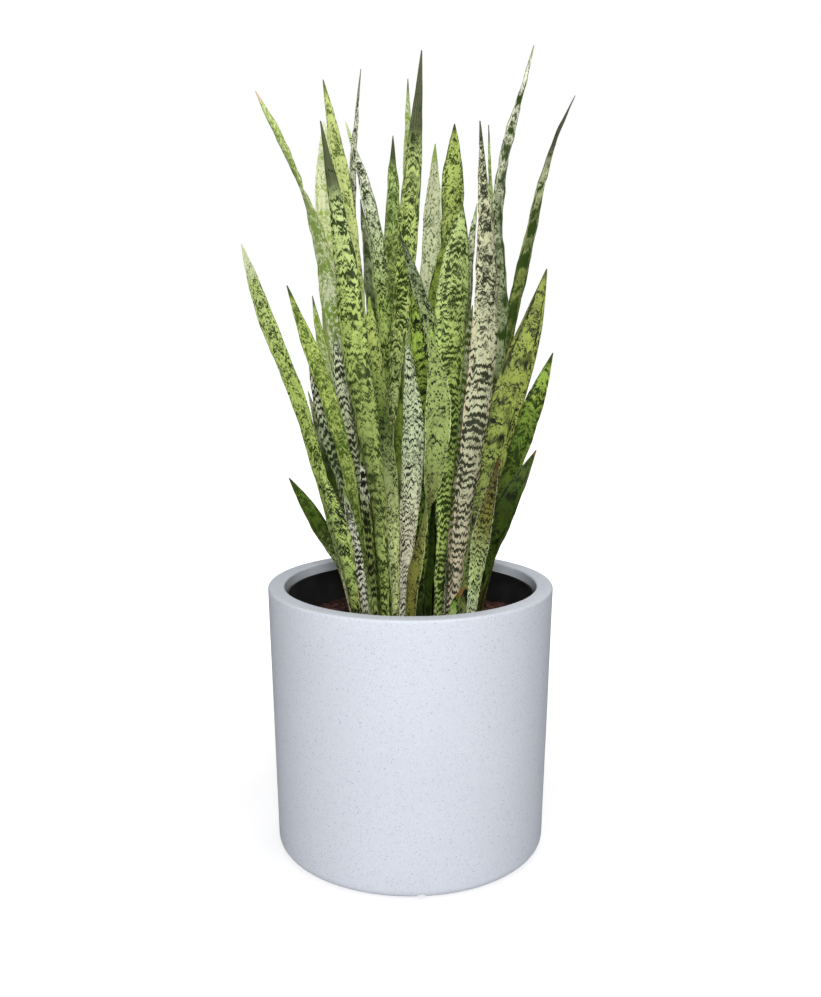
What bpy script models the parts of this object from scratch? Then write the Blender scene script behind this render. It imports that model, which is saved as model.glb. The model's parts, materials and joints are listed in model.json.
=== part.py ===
"""Snake plant in a round planter: metres, +Z up, origin at the centre of the planter's base."""

import math

import bmesh
import bpy
from mathutils import Vector

# Planter
PLANTER_TOP_DIAMETER = 0.400
PLANTER_BASE_DIAMETER = 0.382
PLANTER_HEIGHT = 0.377
PLANTER_WALL = 0.008
PLANTER_FLOOR = 0.014
LIP_WIDTH = 0.023
LIP_DEPTH = 0.024
LIP_ROUND = 0.003
BASE_ROUND = 0.012
DRAIN_COUNT = 4
DRAIN_CIRCLE_DIAMETER = 0.220
DRAIN_HOLE_DIAMETER = 0.012
DRAIN_CHANNEL_WIDTH = 0.014
DRAIN_TURN = math.radians(-85.6)  # the first channel comes out just right of the front

# Grow pot, which stands on the planter's floor
GROW_POT_PLAY = 0.002  # between its rim and the planter's lip
GROW_POT_DROP = 0.013  # from the planter's top down to its rim
GROW_POT_FOOT_GAP = 0.038  # between its foot and the planter's wall
GROW_POT_WALL = 0.0025
GROW_POT_BAND_DEPTH = 0.022
GROW_POT_BAND_STEP = 0.002
GROW_POT_HOLES = 6
GROW_POT_HOLE_DIAMETER = 0.014

# Potting mix and bark
SOIL_DROP = 0.056  # from the planter's top down to the soil around the leaves
CROWN_DIAMETER = 0.252
BARK_DEPTH = 0.012
BARK_RISE = 0.002  # how far the bark stands above the soil beside it

# Leaves
ROOT_DEPTH = 0.022  # how far a leaf goes into the soil
DEPTH_FAN = 2.0  # how fast the rows of leaves spread front and back with height
LEAF_RINGS = 11  # along a leaf that doesn't twist
TWIST_PER_RING = 9  # degrees of twist that add one more ring
LEAF_BASE_SHARE = 0.36  # width at the soil, as a share of the leaf's full width
LEAF_FULL_WIDTH_AT = 0.68  # share of the length at which a leaf is full width
LEAF_BASE_THICKNESS = 0.0062
LEAF_TOP_THICKNESS = 0.0024
LEAF_TIP_WIDTH = 0.0016
LEAF_TIP_FULLNESS = 1.7  # 1 for a straight-sided tip, 2 for a rounder one
CHANNEL_AT_BASE = 0.50  # depth of the leaf's hollow, as a share of its half width
CHANNEL_AT_TIP = 0.16

CONTACT_GAP = 0.0003  # between pieces that touch
POCKET_GAP = 0.0015  # around a leaf's foot in the soil
TURNED_STEPS = 48
ARC_STEPS = 3

LIME = "leaf_lime"
SILVER = "leaf_silver"
PALE = "leaf_pale"
DEEP = "leaf_deep"

COLOURS = {
    "planter": ((0.66, 0.70, 0.78), 0.55),
    "grow_pot": ((0.012, 0.012, 0.014), 0.5),
    "potting_mix": ((0.035, 0.018, 0.012), 0.95),
    "bark_mulch": ((0.10, 0.035, 0.022), 0.9),
    LIME: ((0.30, 0.42, 0.08), 0.4),
    SILVER: ((0.48, 0.50, 0.34), 0.4),
    PALE: ((0.36, 0.50, 0.20), 0.4),
    DEEP: ((0.07, 0.16, 0.03), 0.4),
}

# Each leaf: finish; row, which is how far behind the middle it leaves the soil; lean, how much it bends
# to the back with height; full width; length of the narrowing tip; the way its hollow side faces in
# degrees (0 is the front, 90 the right), from foot to tip; and its line as (sideways, height) points.
PLANTING = {
    # left side, tall
    "leaf_01": (LIME, 0.004, -0.10, 0.034, 0.20, (45, 40, 35, 30, 30, 40, 60, 120, 165),
                ((-0.052, 0), (-0.082, 0.26), (-0.109, 0.45), (-0.1245, 0.53), (-0.155, 0.62), (-0.198, 0.71))),
    "leaf_02": (PALE, 0.026, 0.10, 0.041, 0.11, (40, 40, 35, 25),
                ((-0.070, 0), (-0.097, 0.255), (-0.112, 0.42), (-0.121, 0.60), (-0.123, 0.70))),
    "leaf_03": (LIME, -0.074, 0.0, 0.043, 0.32, (135, 135, 150, 160, 170),
                ((-0.034, 0), (-0.048, 0.215), (-0.070, 0.37), (-0.083, 0.515), (-0.105, 0.65))),
    "leaf_04": (LIME, -0.014, 0.0, 0.026, 0.11, (50, 50, 40, 30),
                ((-0.042, 0), (-0.062, 0.315), (-0.084, 0.56), (-0.112, 0.725))),
    "leaf_05": (DEEP, 0.040, 0.15, 0.024, 0.35, (65, 60, 55, 45),
                ((-0.060, 0), (-0.077, 0.38), (-0.088, 0.60), (-0.074, 0.79))),
    "leaf_06": (PALE, 0.002, 0.0, 0.030, 0.18, (40, 40, 45, 35),
                ((-0.028, 0), (-0.033, 0.255), (-0.045, 0.515), (-0.062, 0.60), (-0.086, 0.68))),
    "leaf_07": (DEEP, 0.046, 0.20, 0.030, 0.18, (70, 60, 50, 40),
                ((-0.040, 0), (-0.048, 0.25), (-0.062, 0.49), (-0.075, 0.60))),
    "leaf_08": (LIME, 0.016, 0.15, 0.033, 0.14, (50, 50, 45, 40),
                ((-0.028, 0), (-0.034, 0.285), (-0.028, 0.50), (-0.025, 0.68))),
    # middle, tall
    "leaf_09": (LIME, -0.040, 0.0, 0.029, 0.22, (70, 75, 60, 30, 20, 10),
                ((-0.025, 0), (-0.030, 0.265), (-0.015, 0.42), (-0.002, 0.56), (0.0085, 0.68), (0.0135, 0.745))),
    "leaf_10": (LIME, 0.036, 0.20, 0.023, 0.20, (60, 50, 35),
                ((-0.015, 0), (-0.007, 0.45), (-0.004, 0.78))),
    "leaf_11": (SILVER, -0.026, -0.285, 0.024, 0.09, (-40, -30, -40, -40),
                ((0.046, 0), (0.043, 0.29), (0.025, 0.42), (-0.013, 0.525))),
    "leaf_12": (LIME, -0.048, 0.0, 0.028, 0.09, (40, 40, 30),
                ((0.010, 0), (0.018, 0.225), (0.003, 0.47))),
    "leaf_13": (PALE, -0.090, 0.0, 0.034, 0.11, (190, 178, 155, 115, 65, 30, 12, 4, 0),
                ((-0.001, 0), (0.003, 0.09), (0.024, 0.21), (0.034, 0.32), (0.025, 0.41))),
    "leaf_14": (SILVER, -0.070, 0.0, 0.032, 0.15, (30, 25, 15, 20),
                ((-0.013, 0), (-0.003, 0.175), (0.003, 0.28), (-0.005, 0.405))),
    "leaf_15": (PALE, -0.056, 0.0, 0.034, 0.11, (40, 35, 25, 20),
                ((-0.021, 0), (-0.028, 0.185), (-0.046, 0.31), (-0.052, 0.45))),
    # left side, lower
    "leaf_16": (SILVER, -0.026, 0.0, 0.026, 0.08, (50, 50, 45, 40),
                ((-0.055, 0), (-0.075, 0.21), (-0.092, 0.315), (-0.100, 0.41))),
    "leaf_17": (SILVER, -0.057, 0.0, 0.018, 0.07, (40, 40, 40),
                ((-0.046, 0), (-0.060, 0.165), (-0.065, 0.25))),
    "leaf_18": (LIME, -0.036, 0.0, 0.026, 0.075, (50, 50, 45, 45, 40),
                ((-0.077, 0), (-0.1155, 0.18), (-0.152, 0.325), (-0.187, 0.415), (-0.216, 0.517))),
    "leaf_19": (LIME, -0.066, 0.0, 0.032, 0.10, (140, 145, 150),
                ((-0.071, 0), (-0.092, 0.13), (-0.120, 0.24))),
    "leaf_20": (DEEP, -0.020, -0.20, 0.028, 0.07, (60, 55, 50, 50),
                ((-0.077, 0), (-0.097, 0.085), (-0.123, 0.135), (-0.165, 0.21))),
    "leaf_21": (DEEP, -0.006, 0.10, 0.030, 0.13, (50, 50, 45),
                ((-0.074, 0), (-0.109, 0.195), (-0.141, 0.325))),
    "leaf_22": (LIME, -0.042, 0.0, 0.026, 0.11, (50, 50, 45, 40, 40),
                ((-0.051, 0), (-0.080, 0.195), (-0.110, 0.325), (-0.140, 0.41), (-0.158, 0.465))),
    "leaf_23": (SILVER, -0.030, 0.0, 0.027, 0.08, (50, 50, 45, 40),
                ((-0.067, 0), (-0.087, 0.175), (-0.117, 0.29), (-0.134, 0.385))),
    "leaf_24": (SILVER, -0.054, 0.0, 0.022, 0.09, (40, 40, 35),
                ((-0.058, 0), (-0.074, 0.105), (-0.089, 0.205))),
    "leaf_25": (SILVER, 0.012, 0.10, 0.030, 0.14, (50, 50, 45),
                ((-0.062, 0), (-0.103, 0.245), (-0.137, 0.455))),
    "leaf_26": (DEEP, -0.018, 0.0, 0.028, 0.12, (40, 40, 40),
                ((-0.010, 0), (-0.018, 0.22), (-0.015, 0.38))),
    "leaf_27": (DEEP, -0.008, 0.0, 0.024, 0.12, (50, 50, 50),
                ((-0.057, 0), (-0.075, 0.285), (-0.080, 0.39))),
    "leaf_28": (DEEP, -0.034, 0.0, 0.028, 0.12, (-40, -40, -40),
                ((0.026, 0), (0.026, 0.125), (0.028, 0.25))),
    # right side
    "leaf_29": (LIME, 0.034, 0.15, 0.039, 0.05, (-45, -45, -35, -30),
                ((0.068, 0), (0.066, 0.31), (0.0625, 0.585), (0.0645, 0.705))),
    "leaf_30": (PALE, 0.004, 0.10, 0.032, 0.11, (-45, -45, -35, -30),
                ((0.024, 0), (0.023, 0.31), (0.031, 0.54), (0.034, 0.66))),
    "leaf_31": (LIME, -0.058, 0.0, 0.045, 0.085, (230, 230, 205, 200),
                ((0.038, 0), (0.050, 0.215), (0.052, 0.42), (0.064, 0.56))),
    "leaf_32": (DEEP, -0.010, 0.0, 0.028, 0.12, (-45, -45, -40, -40),
                ((0.036, 0), (0.033, 0.315), (0.033, 0.46), (0.045, 0.53))),
    "leaf_33": (DEEP, 0.014, 0.05, 0.026, 0.12, (-55, -55, -50, -45),
                ((0.062, 0), (0.070, 0.31), (0.083, 0.515), (0.092, 0.58))),
    "leaf_34": (SILVER, -0.074, 0.0, 0.043, 0.34, (195, 195, 205, 205, 200),
                ((0.054, 0), (0.070, 0.17), (0.093, 0.37), (0.0945, 0.48), (0.081, 0.65))),
    "leaf_35": (DEEP, 0.026, 0.10, 0.022, 0.35, (-60, -55, -50, -45),
                ((0.080, 0), (0.107, 0.285), (0.115, 0.53), (0.111, 0.695))),
    "leaf_36": (DEEP, -0.008, 0.0, 0.034, 0.34, (-45, -45, -40, -30, -40, -65, -45, -40),
                ((0.080, 0), (0.114, 0.33), (0.1225, 0.44), (0.117, 0.53), (0.122, 0.625), (0.136, 0.68), (0.159, 0.77))),
    "leaf_37": (DEEP, 0.012, 0.15, 0.028, 0.34, (-50, -50, -50, -50, -50),
                ((0.091, 0), (0.121, 0.31), (0.1685, 0.53), (0.1975, 0.66), (0.233, 0.735))),
    "leaf_38": (LIME, -0.048, 0.0, 0.044, 0.15, (-35, -30, -25, -15, -15),
                ((0.070, 0), (0.096, 0.18), (0.129, 0.325), (0.157, 0.42), (0.172, 0.485))),
    "leaf_39": (LIME, -0.024, 0.10, 0.039, 0.12, (-50, -45, -40, -30),
                ((0.093, 0), (0.132, 0.205), (0.168, 0.31), (0.191, 0.378))),
    "leaf_40": (DEEP, -0.036, 0.0, 0.036, 0.11, (-55, -45, -35, -30),
                ((0.091, 0), (0.097, 0.065), (0.128, 0.165), (0.168, 0.25))),
    "leaf_41": (SILVER, -0.062, 0.0, 0.030, 0.12, (-35, -35, -30),
                ((0.081, 0), (0.095, 0.13), (0.115, 0.245))),
    "leaf_42": (LIME, -0.090, 0.0, 0.012, 0.04, (-30, -30, -30),
                ((0.051, 0), (0.060, 0.055), (0.072, 0.075))),
    "leaf_43": (SILVER, -0.040, 0.0, 0.024, 0.10, (-55, -55, -50, -45),
                ((0.054, 0), (0.062, 0.225), (0.072, 0.355), (0.080, 0.44))),
    "leaf_44": (DEEP, -0.004, 0.0, 0.028, 0.12, (-45, -45, -45, -45),
                ((0.062, 0), (0.080, 0.29), (0.088, 0.40), (0.093, 0.44))),
    # back
    "leaf_45": (LIME, 0.068, 0.20, 0.040, 0.14, (60, 60, 55), ((-0.068, 0), (-0.090, 0.25), (-0.105, 0.48))),
    "leaf_46": (SILVER, 0.082, 0.25, 0.036, 0.14, (30, 30, 30), ((-0.038, 0), (-0.048, 0.22), (-0.062, 0.43))),
    "leaf_47": (DEEP, 0.060, 0.10, 0.036, 0.16, (80, 80, 70), ((-0.012, 0), (-0.020, 0.28), (-0.015, 0.54))),
    "leaf_48": (LIME, 0.090, 0.35, 0.040, 0.14, (0, 10, 10), ((-0.004, 0), (0.005, 0.24), (0.000, 0.44))),
    "leaf_49": (PALE, 0.062, 0.15, 0.036, 0.14, (-70, -70, -60), ((0.022, 0), (0.030, 0.26), (0.045, 0.51))),
    "leaf_50": (DEEP, 0.084, 0.30, 0.036, 0.14, (-20, -20, -20), ((0.038, 0), (0.055, 0.22), (0.075, 0.40))),
    "leaf_51": (LIME, 0.062, 0.15, 0.040, 0.14, (-60, -60, -55), ((0.060, 0), (0.080, 0.24), (0.092, 0.42))),
    "leaf_52": (SILVER, 0.048, 0.20, 0.034, 0.14, (-60, -60, -60), ((0.086, 0), (0.115, 0.24), (0.140, 0.42))),
    "leaf_53": (DEEP, 0.038, 0.30, 0.032, 0.12, (60, 60, 60), ((-0.086, 0), (-0.112, 0.18), (-0.137, 0.31))),
    "leaf_54": (LIME, 0.098, 0.45, 0.032, 0.12, (-10, -10, -10), ((0.018, 0), (0.022, 0.16), (0.035, 0.29))),
    "leaf_55": (DEEP, 0.040, 0.0, 0.036, 0.14, (-20, -20, -20), ((0.049, 0), (0.048, 0.20), (0.050, 0.34))),
}

PLANTER_RADIUS = PLANTER_TOP_DIAMETER / 2
PLANTER_BASE_RADIUS = PLANTER_BASE_DIAMETER / 2
LIP_INNER_RADIUS = PLANTER_RADIUS - LIP_WIDTH
GROW_POT_RADIUS = LIP_INNER_RADIUS - GROW_POT_PLAY
GROW_POT_BODY_RADIUS = GROW_POT_RADIUS - GROW_POT_BAND_STEP
GROW_POT_FOOT_RADIUS = PLANTER_BASE_RADIUS - PLANTER_WALL - GROW_POT_FOOT_GAP
GROW_POT_TOP = PLANTER_HEIGHT - GROW_POT_DROP
GROW_POT_BOTTOM = PLANTER_FLOOR + CONTACT_GAP
SOIL_TOP = PLANTER_HEIGHT - SOIL_DROP


def clear_scene():
    for item in list(bpy.data.objects):
        bpy.data.objects.remove(item, do_unlink=True)


def new_collection(name, parent):
    group = bpy.data.collections.new(name)
    parent.children.link(group)
    return group


def material(name):
    if name in bpy.data.materials:
        return bpy.data.materials[name]
    colour, roughness = COLOURS[name]
    finish = bpy.data.materials.new(name)
    finish.use_nodes = True
    shader = finish.node_tree.nodes["Principled BSDF"]
    shader.inputs["Base Color"].default_value = (*colour, 1.0)
    shader.inputs["Roughness"].default_value = roughness
    shader.inputs["Metallic"].default_value = 0.0
    finish.diffuse_color = (*colour, 1.0)
    return finish


def new_object(name, mesh, group, finish=None):
    made = bpy.data.objects.new(name, mesh)
    group.objects.link(made)
    if finish:
        mesh.materials.append(material(finish))
    return made


def as_cutter(cutter):
    cutter.hide_render = True
    cutter.display_type = "WIRE"
    return cutter


def arc(centre_r, centre_z, radius, start, end):
    """Points of a round corner, from the start angle to the end angle in degrees."""
    angles = [math.radians(start + (end - start) * i / ARC_STEPS) for i in range(ARC_STEPS + 1)]
    return [(centre_r + radius * math.cos(a), centre_z + radius * math.sin(a)) for a in angles]


def turned(name, profile, group, finish):
    """A profile of (radius, height) points turned about Z: its outer side runs from top to bottom."""
    mesh = bpy.data.meshes.new(name)
    points = [(r, 0, z) for r, z in profile]
    mesh.from_pydata(points, [(i, i + 1) for i in range(len(points) - 1)], [])
    piece = new_object(name, mesh, group, finish)
    screw = piece.modifiers.new("Turn", "SCREW")
    screw.axis = "Z"
    screw.angle = math.tau
    screw.steps = TURNED_STEPS
    screw.render_steps = TURNED_STEPS
    screw.use_merge_vertices = True
    screw.merge_threshold = 0.0001
    screw.use_smooth_shade = False
    return piece


def cylinder_cutter(name, radius, length, group):
    mesh = bpy.data.meshes.new(name)
    shape = bmesh.new()
    bmesh.ops.create_cone(shape, cap_ends=True, segments=16, radius1=radius, radius2=radius, depth=length)
    shape.to_mesh(mesh)
    shape.free()
    return as_cutter(new_object(name, mesh, group))


def cut(piece, cutters):
    boolean = piece.modifiers.new("Cut", "BOOLEAN")
    boolean.operation = "DIFFERENCE"
    boolean.operand_type = "COLLECTION"
    boolean.collection = cutters
    boolean.solver = "EXACT"


def planter(group, cutters):
    top_round = min(LIP_ROUND, LIP_WIDTH / 3)
    inner_base = PLANTER_BASE_RADIUS - PLANTER_WALL
    inner_top = PLANTER_RADIUS - PLANTER_WALL
    lip_bottom = PLANTER_HEIGHT - LIP_DEPTH
    undercut = lip_bottom - (inner_top - LIP_INNER_RADIUS)
    profile = [(0, PLANTER_FLOOR), (inner_base, PLANTER_FLOOR), (inner_top, undercut)]
    profile += [(LIP_INNER_RADIUS, lip_bottom)]
    profile += arc(LIP_INNER_RADIUS + top_round, PLANTER_HEIGHT - top_round, top_round, 180, 90)
    profile += arc(PLANTER_RADIUS - top_round, PLANTER_HEIGHT - top_round, top_round, 90, 0)
    profile += arc(PLANTER_BASE_RADIUS - BASE_ROUND, BASE_ROUND, BASE_ROUND, 0, -90)
    profile += [(0, 0)]
    piece = turned("planter", profile, group, "planter")
    for i in range(DRAIN_COUNT):
        turn = DRAIN_TURN + math.tau * i / DRAIN_COUNT
        outwards = Vector((math.cos(turn), math.sin(turn), 0))
        hole = cylinder_cutter(f"drain_hole_{i + 1}", DRAIN_HOLE_DIAMETER / 2, PLANTER_FLOOR * 3, cutters)
        hole.location = outwards * DRAIN_CIRCLE_DIAMETER / 2
        length = PLANTER_BASE_RADIUS
        channel = cylinder_cutter(f"drain_channel_{i + 1}", DRAIN_CHANNEL_WIDTH / 2, length, cutters)
        channel.location = outwards * (DRAIN_CIRCLE_DIAMETER / 2 + length / 2)
        channel.rotation_euler = (0, math.pi / 2, turn)
    cut(piece, cutters)
    return piece


def grow_pot_radius(height):
    """Outer radius of the grow pot's body at a height."""
    share = (height - GROW_POT_BOTTOM) / (GROW_POT_TOP - GROW_POT_BOTTOM)
    return GROW_POT_FOOT_RADIUS + (GROW_POT_BODY_RADIUS - GROW_POT_FOOT_RADIUS) * share


def grow_pot(group, cutters):
    floor = GROW_POT_BOTTOM + GROW_POT_WALL
    band_bottom = GROW_POT_TOP - GROW_POT_BAND_DEPTH
    band_inner = GROW_POT_RADIUS - GROW_POT_WALL
    profile = [(0, floor)]
    profile += [(grow_pot_radius(floor) - GROW_POT_WALL, floor)]
    profile += [(grow_pot_radius(band_bottom) - GROW_POT_WALL, band_bottom)]
    profile += [(band_inner, band_bottom + GROW_POT_WALL)]
    profile += [(band_inner, GROW_POT_TOP)]
    profile += [(GROW_POT_RADIUS, GROW_POT_TOP)]
    profile += [(GROW_POT_RADIUS, band_bottom)]
    profile += [(grow_pot_radius(band_bottom), band_bottom)]
    profile += [(grow_pot_radius(GROW_POT_BOTTOM), GROW_POT_BOTTOM)]
    profile += [(0, GROW_POT_BOTTOM)]
    piece = turned("grow_pot", profile, group, "grow_pot")
    for i in range(GROW_POT_HOLES):
        turn = math.tau * i / GROW_POT_HOLES
        hole = cylinder_cutter(f"pot_hole_{i + 1}", GROW_POT_HOLE_DIAMETER / 2, GROW_POT_WALL * 4, cutters)
        away = grow_pot_radius(GROW_POT_BOTTOM) * 0.6
        hole.location = (away * math.cos(turn), away * math.sin(turn), GROW_POT_BOTTOM)
    cut(piece, cutters)
    return piece


def potting_mix(group, cutters):
    """The soil: a raised crown that the leaves stand in, with a step around it for the bark."""
    bottom = GROW_POT_BOTTOM + GROW_POT_WALL + CONTACT_GAP
    inset = GROW_POT_WALL + CONTACT_GAP
    shoulder = SOIL_TOP - BARK_DEPTH + BARK_RISE
    profile = [(0, SOIL_TOP), (CROWN_DIAMETER / 2, SOIL_TOP), (CROWN_DIAMETER / 2, shoulder)]
    profile += [(grow_pot_radius(shoulder) - inset, shoulder)]
    profile += [(grow_pot_radius(bottom) - inset, bottom), (0, bottom)]
    piece = turned("potting_mix", profile, group, "potting_mix")
    cut(piece, cutters)
    return piece


def bark_mulch(group, cutters):
    """A flat ring of bark between the crown and the grow pot's wall, open where a leaf comes through."""
    inset = GROW_POT_WALL + CONTACT_GAP
    bottom = SOIL_TOP - BARK_DEPTH + BARK_RISE + CONTACT_GAP
    top = SOIL_TOP + BARK_RISE
    inner = CROWN_DIAMETER / 2 + CONTACT_GAP
    outer = grow_pot_radius(bottom) - inset
    profile = [(inner, bottom), (inner, top), (outer, top), (outer, bottom), (inner, bottom)]
    piece = turned("bark_mulch", profile, group, "bark_mulch")
    cut(piece, cutters)
    return piece


def through(points, place):
    """A smooth line through the points, read at a place from 0 to 1 along it."""
    lengths = [0.0]
    for a, b in zip(points, points[1:]):
        lengths.append(lengths[-1] + (b - a).length)
    wanted = place * lengths[-1]
    span = max(i for i in range(len(points) - 1) if lengths[i] <= wanted or i == 0)
    gap = lengths[span + 1] - lengths[span]
    u = (wanted - lengths[span]) / gap
    slopes = []
    for i in (span, span + 1):
        before = max(i - 1, 0)
        after = min(i + 1, len(points) - 1)
        slopes.append((points[after] - points[before]) / (lengths[after] - lengths[before]) * gap)
    start = points[span] * (2 * u**3 - 3 * u**2 + 1) + slopes[0] * (u**3 - 2 * u**2 + u)
    return start + points[span + 1] * (3 * u**2 - 2 * u**3) + slopes[1] * (u**3 - u**2)


def spine(row, lean, line):
    """The leaf's line in space, from its foot in the soil to its tip."""
    points = []
    for sideways, height in line:
        back = row * (1 + DEPTH_FAN * height) + lean * height**2
        points.append(Vector((sideways, back, SOIL_TOP + height)))
    foot = points[0] - (points[1] - points[0]).normalized() * ROOT_DEPTH
    return [foot] + points


def leaf_section(place, length, width, taper):
    """Half width, thickness and hollow depth at a place from 0 to 1 along the leaf."""
    swell = min(place / LEAF_FULL_WIDTH_AT, 1.0)
    swell = LEAF_BASE_SHARE + (1 - LEAF_BASE_SHARE) * swell * swell * (3 - 2 * swell)
    left = min((1 - place) * length / taper, 1.0)
    across = max(width * swell * (1 - (1 - left) ** LEAF_TIP_FULLNESS), LEAF_TIP_WIDTH)
    thick = LEAF_BASE_THICKNESS + (LEAF_TOP_THICKNESS - LEAF_BASE_THICKNESS) * place**0.6
    thick = min(thick, across * 0.5)
    hollow = across / 2 * (CHANNEL_AT_BASE + (CHANNEL_AT_TIP - CHANNEL_AT_BASE) * place)
    return across / 2, thick, hollow


def leaf_ring(plan, place, gap=0.0):
    """Eight points around the leaf at a place along it, pushed out by a gap."""
    row, lean, width, taper, facing, line = plan
    points = spine(row, lean, line)
    length = sum((b - a).length for a, b in zip(points, points[1:]))
    centre = through(points, place)
    step = 0.01
    along = (through(points, min(place + step, 1)) - through(points, max(place - step, 0))).normalized()
    turns = [Vector((turn, 0, 0)) for turn in facing]
    between = place * (len(turns) - 1)
    low = min(int(between), len(turns) - 2)
    turn = math.radians(turns[low].lerp(turns[low + 1], between - low).x)
    front = Vector((math.sin(turn), -math.cos(turn), 0))
    front = (front - along * front.dot(along)).normalized()
    side = along.cross(front)
    half, thick, hollow = leaf_section(place, length, width, taper)
    half += gap * 2
    thick += gap * 2
    outline = [(-1, 1, 0), (-0.55, 0.3, -0.42), (0, 0, -0.5), (0.55, 0.3, -0.42)]
    outline += [(1, 1, 0), (0.5, 0.25, 0.38), (0, 0, 0.5), (-0.5, 0.25, 0.38)]
    return [centre + side * half * a + front * (hollow * n + thick * t) for a, n, t in outline]


def loft(name, rings, group, finish=None):
    """A closed solid through rings of the same number of points."""
    shape = bmesh.new()
    loops = [[shape.verts.new(point) for point in ring] for ring in rings]
    count = len(loops[0])
    for low, high in zip(loops, loops[1:]):
        for i in range(count):
            j = (i + 1) % count
            shape.faces.new((low[i], high[i], high[j], low[j]))
    shape.faces.new(loops[0])
    shape.faces.new(reversed(loops[-1]))
    mesh = bpy.data.meshes.new(name)
    shape.to_mesh(mesh)
    shape.free()
    return new_object(name, mesh, group, finish)


def leaf(name, finish, plan, group, cutters):
    facing = plan[4]
    twist = sum(abs(after - before) for before, after in zip(facing, facing[1:]))
    last = LEAF_RINGS - 1 + int(twist / TWIST_PER_RING)
    places = [i / last for i in range(last + 1)]
    piece = loft(name, [leaf_ring(plan, place) for place in places], group, finish)
    pocket = []
    for place in places:
        pocket.append(leaf_ring(plan, place, POCKET_GAP))
        if min(point.z for point in pocket[-1]) > SOIL_TOP + BARK_DEPTH:
            break
    down = (pocket[0][2] - pocket[1][2]).normalized() * POCKET_GAP
    pocket[0] = [point + down for point in pocket[0]]
    as_cutter(loft(f"{name}_pocket", pocket, cutters))
    return piece


def main():
    clear_scene()
    scene = bpy.context.scene.collection
    parts = new_collection("potted_snake_plant", scene)
    cutters = new_collection("cutters", scene)
    planter(parts, new_collection("planter_cutters", cutters))
    grow_pot(parts, new_collection("grow_pot_cutters", cutters))
    pockets = new_collection("leaf_pockets", cutters)
    for name, (finish, *plan) in PLANTING.items():
        leaf(name, finish, plan, parts, pockets)
    potting_mix(parts, pockets)
    bark_mulch(parts, pockets)


main()
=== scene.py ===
# Snake plant in a round planter: the looks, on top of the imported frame. Metres, +Z up.
import json
import math
import random

import bmesh
import bpy
import numpy as np
from mathutils import Matrix, Vector, noise


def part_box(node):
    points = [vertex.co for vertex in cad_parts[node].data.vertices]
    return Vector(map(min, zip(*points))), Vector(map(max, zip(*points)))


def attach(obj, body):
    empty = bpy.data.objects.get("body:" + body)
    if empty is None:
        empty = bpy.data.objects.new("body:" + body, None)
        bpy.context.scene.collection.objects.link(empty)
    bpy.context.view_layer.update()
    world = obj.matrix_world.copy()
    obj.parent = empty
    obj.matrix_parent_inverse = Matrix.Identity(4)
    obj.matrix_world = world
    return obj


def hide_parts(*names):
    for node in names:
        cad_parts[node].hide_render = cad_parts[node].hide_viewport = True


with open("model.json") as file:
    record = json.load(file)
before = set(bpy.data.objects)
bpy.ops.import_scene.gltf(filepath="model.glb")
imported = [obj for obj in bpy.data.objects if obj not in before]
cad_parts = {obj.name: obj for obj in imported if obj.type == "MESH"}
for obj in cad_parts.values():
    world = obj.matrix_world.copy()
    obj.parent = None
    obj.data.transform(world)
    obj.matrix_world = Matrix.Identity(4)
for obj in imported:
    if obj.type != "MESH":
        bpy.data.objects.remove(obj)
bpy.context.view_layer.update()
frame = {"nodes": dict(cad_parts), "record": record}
scene = bpy.context.scene
scene.view_settings.view_transform = "Standard"
print("frame loaded:", len(frame["nodes"]), "nodes")


# helpers for picking, edit mode and modifiers

def pickOnly(*pieces):
    if bpy.context.mode != "OBJECT":
        bpy.ops.object.mode_set(mode="OBJECT")
    bpy.ops.object.select_all(action="DESELECT")
    for piece in pieces:
        piece.select_set(True)
    bpy.context.view_layer.objects.active = pieces[0]


def startEdit(piece, mode="FACE"):
    pickOnly(piece)
    bpy.ops.object.mode_set(mode="EDIT")
    bpy.ops.mesh.select_mode(type=mode)
    bpy.ops.mesh.select_all(action="DESELECT")


def endEdit():
    bpy.ops.object.mode_set(mode="OBJECT")


def pickEdges(piece, wanted):
    bpy.ops.mesh.select_all(action="DESELECT")
    shape = bmesh.from_edit_mesh(piece.data)
    for edge in shape.edges:
        edge.select_set(wanted(edge))
    bmesh.update_edit_mesh(piece.data)


def pickFaces(piece, wanted):
    bpy.ops.mesh.select_all(action="DESELECT")
    shape = bmesh.from_edit_mesh(piece.data)
    for face in shape.faces:
        face.select_set(wanted(face))
    bmesh.update_edit_mesh(piece.data)


def ringAt(radius, height, slack=0.0006):
    # a test for the edges of the ring at that radius and height
    def wanted(edge):
        for vert in edge.verts:
            stray = abs(math.hypot(vert.co.x, vert.co.y) - radius)
            if stray > slack or abs(vert.co.z - height) > slack:
                return False
        return True
    return wanted


def applyAll(piece):
    pickOnly(piece)
    for modifier in list(piece.modifiers):
        bpy.ops.object.modifier_apply(modifier=modifier.name)


def bake(piece):
    # puts the object's place into its mesh
    pickOnly(piece)
    bpy.ops.object.transform_apply(location=True, rotation=True, scale=True)


def smooth(piece, angle):
    pickOnly(piece)
    bpy.ops.object.shade_smooth_by_angle(angle=math.radians(angle))


def finishPiece(piece, slot, *nodes):
    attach(piece, "root")
    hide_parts(*nodes)


def radiiOf(node, low, high):
    # the smallest and largest radius of a node's points between two heights
    points = [v.co for v in frame["nodes"][node].data.vertices if low <= v.co.z <= high]
    radii = [math.hypot(p.x, p.y) for p in points]
    return min(radii), max(radii)


def colour(red, green, blue):
    # a colour as a paint program gives it, 0 to 255, as the shader wants it
    def linear(value):
        value = value / 255
        return value / 12.92 if value <= 0.04045 else ((value + 0.055) / 1.055) ** 2.4
    return (linear(red), linear(green), linear(blue), 1.0)


# shader maths

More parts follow.
